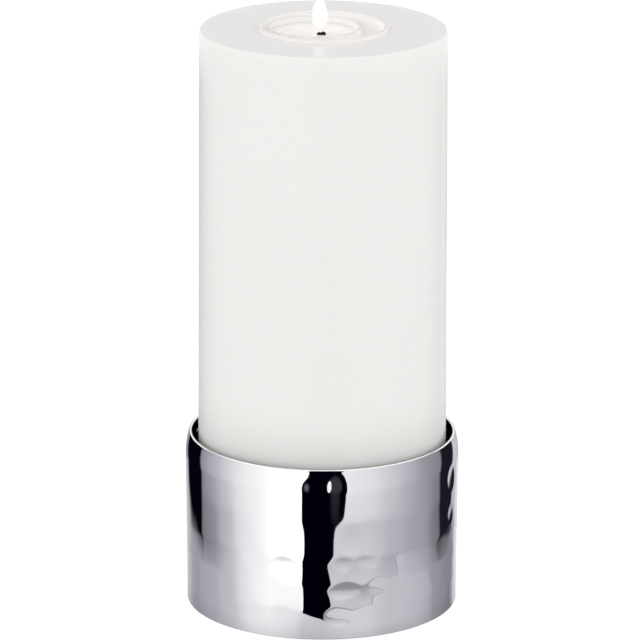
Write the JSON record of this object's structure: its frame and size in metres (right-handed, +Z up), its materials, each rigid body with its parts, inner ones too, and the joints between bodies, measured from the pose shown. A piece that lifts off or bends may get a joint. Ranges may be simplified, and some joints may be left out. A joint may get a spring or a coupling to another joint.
{
  "type": "candle ring",
  "caption": "Hammered metal candle ring round a white pillar candle, whose glass insert holds a tealight that lifts out.",
  "frame": {"origin": "middle of the foot, on the surface that the ring and the candle stand on", "axes": "+Z up along the candle's axis, +X to the right as the picture sees it, +Y away from the viewer"},
  "size_m": [0.1104, 0.1104, 0.2385],
  "materials": {
    "ring_metal": "mirror-polished hammered sheet",
    "candle_wax": "smooth white wax with a soft sheen",
    "insert_glass": "clear, with a rounded rim",
    "cup_plastic": "clear and glossy",
    "tealight_wax": "white wax, melted glossy round the wick",
    "wick_cotton": "cotton, charred at the tip",
    "sustainer_metal": "plain pressed sheet"
  },
  "bodies": {
    "ring": {"hammered_ring": "ring_metal"},
    "candle": {"candle_body": "candle_wax"},
    "insert": {"glass_insert": "insert_glass"},
    "tealight": {"tealight_cup": "cup_plastic", "tealight_wax": "tealight_wax", "wick": "wick_cotton", "wick_sustainer": "sustainer_metal"}
  },
  "joints": [
    {"name": "candle_lift", "type": "slide", "parent": "ring", "child": "candle", "axis": [0, 0, 1], "range_m": [0, 0.09]},
    {"name": "insert_lift", "type": "slide", "parent": "candle", "child": "insert", "axis": [0, 0, 1], "range_m": [0, 0.03]},
    {"name": "tealight_lift", "type": "slide", "parent": "insert", "child": "tealight", "axis": [0, 0, 1], "range_m": [0, 0.025]}
  ]
}
